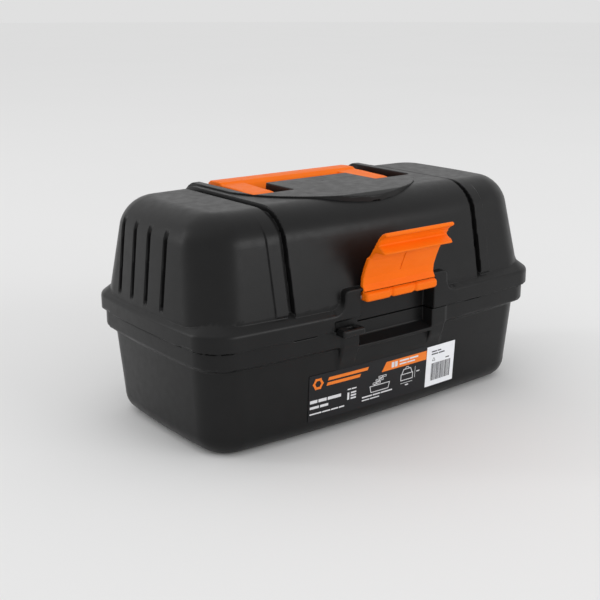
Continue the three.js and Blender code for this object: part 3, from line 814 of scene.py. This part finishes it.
def open_box_icon(x, z):
    """A box with its trays fanned out, drawn in lines."""
    made = outline_strokes([(x, z), (x + 21, z), (x + 22.5, z + 6), (x - 1.5, z + 6)])
    for step in range(3):
        made += outline_strokes([(x + 2 + 3.4 * step, z + 7.4 + 2.6 * step),
                                 (x + 11 + 3.4 * step, z + 7.4 + 2.6 * step),
                                 (x + 11 + 3.4 * step, z + 9 + 2.6 * step),
                                 (x + 2 + 3.4 * step, z + 9 + 2.6 * step)], 0.5)
    return made + [stroke((x + 3, z + 6), (x + 14, z + 13.6), 0.5)]


def closed_box_icon(x, z):
    """The shut box with a dimension line on each side, drawn in lines."""
    made = outline_strokes([(x, z), (x + 15, z), (x + 15, z + 6), (x, z + 6)])
    made += outline_strokes([(x + 0.8, z + 6), (x + 14.2, z + 6), (x + 12, z + 11), (x + 3, z + 11)])
    made += outline_strokes([(x + 5, z + 11), (x + 10, z + 11), (x + 9, z + 13), (x + 6, z + 13)], 0.5)
    for a, b in (((x, z - 3), (x + 15, z - 3)), ((x + 18, z), (x + 18, z + 11))):
        made.append(stroke(a, b, 0.4))
    return made + [bar((x + 20, x + 24), (z + 5, z + 6.2)), bar((x + 6, x + 10), (z - 6, z - 4.8))]


def white_print():
    made = text_bars(-92.4, 35.2, 3.0, (8.0, 9.0, 15.0)) + text_bars(-92.4, 29.8, 2.4, (10.0, 9.0))
    made += text_bars(-92.4, 24.2, 1.3, (13.0, 9.0, 8.0, 6.0), 0.9)
    made += [bar((-50.6, -48.4), (29.8, 37.0)), bar((-46.6, -40.4), (29.8, 31.4)),
             bar((-46.6, -40.4), (32.6, 34.2)), bar((-46.6, -40.4), (35.4, 37.0))]
    made += text_bars(-50.6, 39.4, 1.2, (4.0, 5.5), 0.8)
    made += open_box_icon(-22.5, 30.5) + text_bars(-33, 27, 1.3, (12.0, 9.0, 14.0), 0.9)
    made += text_bars(-33, 24, 1.1, (9.0, 11.0), 0.9) + closed_box_icon(14.5, 33.5)
    made += text_bars(1.5, 50.0, 5.4, (3.2, 3.2), 0.9) + text_bars(11.5, 50.6, 1.4, (9.0, 10.0), 1.0)
    return made + text_bars(11.5, 53.6, 1.7, (12.0, 11.0), 1.0)


def sticker_print():
    made = text_bars(54, 53.6, 1.3, (7.0, 5.0), 0.9) + text_bars(54, 50.9, 1.3, (9.0, 8.0), 0.9)
    made += outline_strokes([(55.6, 44.6), (59.2, 44.6), (57.4, 47.8)], 0.5)
    made += text_bars(74, 44.0, 1.2, (5.0,))
    x = 54.6
    for i in range(22):
        width = (0.45, 0.8, 0.45, 1.2, 0.6)[i * 3 % 5]
        made.append(bar((x, x + width), (24.0, 42.0)))
        x += width + (0.5, 0.4, 0.65)[i % 3]
    return made


# ---- materials ----

def new_material(name, colour, roughness, **values):
    """A Principled material and a helper that adds a noise in object space, in metres."""
    made = bpy.data.materials.new(name)
    made.use_nodes = True
    tree = made.node_tree
    shader = tree.nodes["Principled BSDF"]
    shader.inputs["Base Color"].default_value = (*colour, 1)
    shader.inputs["Roughness"].default_value = roughness
    for key, value in values.items():
        shader.inputs[key.replace("_", " ")].default_value = value
    place = tree.nodes.new("ShaderNodeTexCoord").outputs["Object"]

    def noise(scale, detail=2.0, stretch=(1, 1, 1)):
        mapping = tree.nodes.new("ShaderNodeMapping")
        mapping.inputs["Scale"].default_value = stretch
        tree.links.new(place, mapping.inputs["Vector"])
        made_noise = tree.nodes.new("ShaderNodeTexNoise")
        made_noise.inputs["Scale"].default_value = scale
        made_noise.inputs["Detail"].default_value = detail
        tree.links.new(mapping.outputs["Vector"], made_noise.inputs["Vector"])
        return made_noise.outputs["Fac"]
    return made, tree, shader, noise


def vary(tree, shader, source, socket, low, high):
    """Drives a number or colour of the shader from a noise, between two values."""
    if socket == "Base Color":
        ramp = tree.nodes.new("ShaderNodeValToRGB")
        ramp.color_ramp.elements[0].position = 0.3
        ramp.color_ramp.elements[1].position = 0.7
        ramp.color_ramp.elements[0].color = (*low, 1)
        ramp.color_ramp.elements[1].color = (*high, 1)
        tree.links.new(source, ramp.inputs["Fac"])
        tree.links.new(ramp.outputs["Color"], shader.inputs[socket])
        return
    span = tree.nodes.new("ShaderNodeMapRange")
    span.inputs["From Min"].default_value = 0.3
    span.inputs["From Max"].default_value = 0.7
    span.inputs["To Min"].default_value = low
    span.inputs["To Max"].default_value = high
    tree.links.new(source, span.inputs["Value"])
    tree.links.new(span.outputs["Result"], shader.inputs[socket])


def emboss(tree, shader, sources):
    """Bumps one on another, each (height source, strength, distance in metres)."""
    normal = None
    for source, strength, distance in sources:
        bump = tree.nodes.new("ShaderNodeBump")
        bump.inputs["Strength"].default_value = strength
        bump.inputs["Distance"].default_value = distance
        tree.links.new(source, bump.inputs["Height"])
        if normal:
            tree.links.new(normal, bump.inputs["Normal"])
        normal = bump.outputs["Normal"]
    tree.links.new(normal, shader.inputs["Normal"])


def moulded_plastic(name, dark, light, roughness, grain, shine):
    """Moulded plastic: a fine spark-eroded grain, a slow drift in gloss, a little flow marking."""
    made, tree, shader, noise = new_material(name, light, roughness, Specular_IOR_Level=shine)
    vary(tree, shader, noise(38, 3), "Base Color", dark, light)
    vary(tree, shader, noise(120, 4), "Roughness", roughness - 0.04, roughness + 0.05)
    emboss(tree, shader, [(noise(900, 2), grain, 0.00012), (noise(2300, 1), grain, 0.00005),
                          (noise(16, 1, (1, 1, 2.5)), 0.12, 0.0008)])
    return made


def drawn_steel(name):
    made, tree, shader, noise = new_material(name, (0.6, 0.6, 0.61), 0.3, Metallic=1.0)
    lines = noise(1500, 2, (0.03, 1, 1))
    vary(tree, shader, noise(90, 2), "Base Color", (0.5, 0.5, 0.51), (0.66, 0.66, 0.67))
    vary(tree, shader, lines, "Roughness", 0.24, 0.42)
    emboss(tree, shader, [(lines, 0.25, 0.00004)])
    return made


def sheet_material(name, dark, light, roughness, fibre):
    made, tree, shader, noise = new_material(name, light, roughness, Specular_IOR_Level=0.3)
    vary(tree, shader, noise(70, 3), "Base Color", dark, light)
    vary(tree, shader, noise(260, 3), "Roughness", roughness - 0.05, roughness + 0.05)
    emboss(tree, shader, [(noise(1500, 3), fibre, 0.00005), (noise(45, 1), 0.2, 0.0003)])
    return made


# ---- the studio ----

CAMERA_TURN, CAMERA_RISE, CAMERA_AWAY = math.radians(-38.27), math.radians(15.38), 1.03613
CAMERA_AIM = Vector((0, 0, 0.105))


def make_camera():
    data = bpy.data.cameras.new("camera")
    data.lens, data.sensor_width = 62.56, 36.0
    data.shift_x, data.shift_y = -0.0383, -0.0190
    camera = new_object("camera", data)
    back = Vector((math.sin(CAMERA_TURN) * math.cos(CAMERA_RISE),
                   -math.cos(CAMERA_TURN) * math.cos(CAMERA_RISE), math.sin(CAMERA_RISE)))
    camera.location = CAMERA_AIM + back * CAMERA_AWAY
    camera.rotation_mode = "QUATERNION"
    camera.rotation_quaternion = (-back).to_track_quat("-Z", "Y")
    bpy.context.scene.camera = camera


def make_light(name, at, aim, size, power):
    data = bpy.data.lights.new(name, "AREA")
    data.shape, data.size, data.size_y = "RECTANGLE", *size
    data.energy = power
    light = new_object(name, data)
    light.location = at
    light.rotation_mode = "QUATERNION"
    light.rotation_quaternion = (Vector(aim) - Vector(at)).to_track_quat("-Z", "Y")


def make_studio():
    rings, turns = (0.0, 0.6, 2.0, 6.0, 20.0), 48
    points = [(0, 0, 0)] + [(r * math.cos(a), r * math.sin(a), 0) for r in rings[1:]
                            for a in (2 * math.pi * i / turns for i in range(turns))]
    faces = [(0, 1 + i, 1 + (i + 1) % turns) for i in range(turns)]
    faces += [(1 + r * turns + i, 1 + (r + 1) * turns + i, 1 + (r + 1) * turns + (i + 1) % turns,
               1 + r * turns + (i + 1) % turns) for r in range(len(rings) - 2) for i in range(turns)]
    data = bpy.data.meshes.new("floor")
    data.from_pydata(points, [], faces)
    floor = new_object("floor", data)
    made, tree, shader, noise = new_material("studio_floor", (0.83, 0.83, 0.83), 1.0,
                                             Specular_IOR_Level=0.0)
    vary(tree, shader, noise(1.5, 2), "Base Color", (0.827, 0.827, 0.827), (0.833, 0.833, 0.833))
    data.materials.append(made)

    world = bpy.data.worlds.new("studio")
    world.use_nodes = True
    world.node_tree.nodes["Background"].inputs["Color"].default_value = (0.745, 0.745, 0.745, 1)
    world.node_tree.nodes["Background"].inputs["Strength"].default_value = 1.0
    bpy.context.scene.world = world
    bpy.context.scene.view_settings.view_transform = "Standard"
    sun = bpy.data.lights.new("soft_sun", "SUN")
    sun.energy, sun.angle = 0.42, math.radians(80)
    high = new_object("soft_sun", sun)
    high.rotation_euler = (math.radians(-18), math.radians(-16), 0)
    make_light("front_softbox", (1.36, -3.2, 1.34), (0, 0, 0.13), (2.4, 1.3), 35)
    make_light("back_strip", (-2.5, 2.1, 1.25), (-0.15, 0, 0.15), (0.42, 1.9), 13)


# ---- assembly ----

def finish_piece(piece, body, look, replaced=()):
    piece.data.materials.clear()
    piece.data.materials.append(look)
    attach(piece, body)
    if replaced:
        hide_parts(*replaced)


def build():
    make_camera()
    make_studio()
    black = moulded_plastic("black_moulding", (0.0070, 0.0070, 0.0072), (0.0088, 0.0088, 0.0090),
                            0.35, 0.30, 0.22)
    orange = moulded_plastic("orange_moulding", (0.93, 0.165, 0.003), (0.97, 0.180, 0.004),
                             0.44, 0.14, 0.12)
    grey = moulded_plastic("grey_moulding", (0.040, 0.041, 0.045), (0.052, 0.053, 0.058),
                           0.45, 0.20, 0.35)
    steel = drawn_steel("drawn_steel")
    film = sheet_material("label_film", (0.0080, 0.0082, 0.0098), (0.0098, 0.0100, 0.0120), 0.36, 0.08)
    paper = sheet_material("sticker_paper", (0.84, 0.86, 0.90), (0.92, 0.93, 0.95), 0.55, 0.3)
    orange_ink = sheet_material("orange_ink", (0.86, 0.20, 0.018), (0.92, 0.23, 0.024), 0.4, 0.05)
    white_ink = sheet_material("white_ink", (0.70, 0.70, 0.72), (0.78, 0.78, 0.80), 0.45, 0.05)
    grey_ink = sheet_material("grey_ink", (0.05, 0.05, 0.055), (0.09, 0.09, 0.095), 0.5, 0.05)

    finish_piece(make_tub(), "base", black, ["tub"])
    finish_piece(make_lid(), "lid", black, ["lid"])
    finish_piece(make_latch(), "latch", orange, ["latch"])
    finish_piece(make_handle(), "handle", orange, ["handle"])
    finish_piece(make_pin("latch_rod_turned", 1, LATCH_AXIS, rod_profile(-60.8, 60.8)),
                 "lid", steel, ["latch_rod"])
    for level, name in enumerate(TRAYS):
        finish_piece(make_tray(level), f"tray_{name}", grey, [f"tray_{name}"])

    for side, hand in HANDS:
        finish_piece(make_pin(f"hinge_rod_{hand}_turned", side, HINGE, rod_profile(58, 126)),
                     "base", steel, [f"hinge_rod_{hand}"])
        finish_piece(make_pin(f"handle_pin_{hand}_turned", side, HANDLE_AXIS, rod_profile(48, 97.4)),
                     "lid", steel, [f"handle_pin_{hand}"])
        for which in ARM_FEET:
            pivots = [arm_pivot(which, step) for step in range(4)]
            node = f"arm_{which}_{hand}"
            finish_piece(make_bar(f"{node}_bar", pivots, ARM_LAYER, side, 5.5, [2.4] * 4),
                         node, grey, [node])
            node = f"tub_pin_{which}_{hand}"
            finish_piece(make_pin(f"{node}_turned", side, pivots[0],
                                  headed_profile(ARM_LAYER[0] - 1.3, 175)),
                         "base", steel, [node])
            for level, name in enumerate(TRAYS):
                node = f"pin_{name}_{which}_{hand}"
                finish_piece(make_pin(f"{node}_turned", side, pivots[level + 1],
                                      headed_profile(ARM_LAYER[1] + 1.3, 163.4)),
                             f"tray_{name}", steel, [node])
        foot = from_hinge(LINK_FOOT)
        head = (foot[0] - LINK_LENGTH * math.cos(LINK_ANGLE), foot[1] + LINK_LENGTH * math.sin(LINK_ANGLE))
        finish_piece(make_bar(f"lid_link_{hand}_bar", [foot, head], LINK_LAYER, side, 6, [2.4, 3.3]),
                     f"lid_link_{hand}", grey, [f"lid_link_{hand}"])
        finish_piece(make_pin(f"lid_link_pin_{hand}_turned", side, foot,
                              headed_profile(LINK_LAYER[0] - 1.2, 180)),
                     "lid", steel, [f"lid_link_pin_{hand}"])
        finish_piece(make_pin(f"tray_link_pin_{hand}_turned", side, from_hinge(LINK_HEAD),
                              headed_profile(LINK_LAYER[1] + 1.3, 162)),
                     "tray_upper", steel, [f"tray_link_pin_{hand}"])

    finish_piece(printed("front_label_film", [bar(LABEL_X, LABEL_Z)], 0.3, 0.6),
                 "base", film, ["front_label"])
    finish_piece(printed("price_sticker_paper", [bar(STICKER_X, STICKER_Z)], 0.3, 0.6),
                 "base", paper, ["price_sticker"])
    finish_piece(printed("label_orange_print", orange_print(), 0.58, 0.66), "base", orange_ink)
    finish_piece(printed("label_white_print", white_print(), 0.58, 0.70), "base", white_ink)
    finish_piece(printed("sticker_grey_print", sticker_print(), 0.58, 0.66), "base", grey_ink)


build()
bpy.context.view_layer.update()
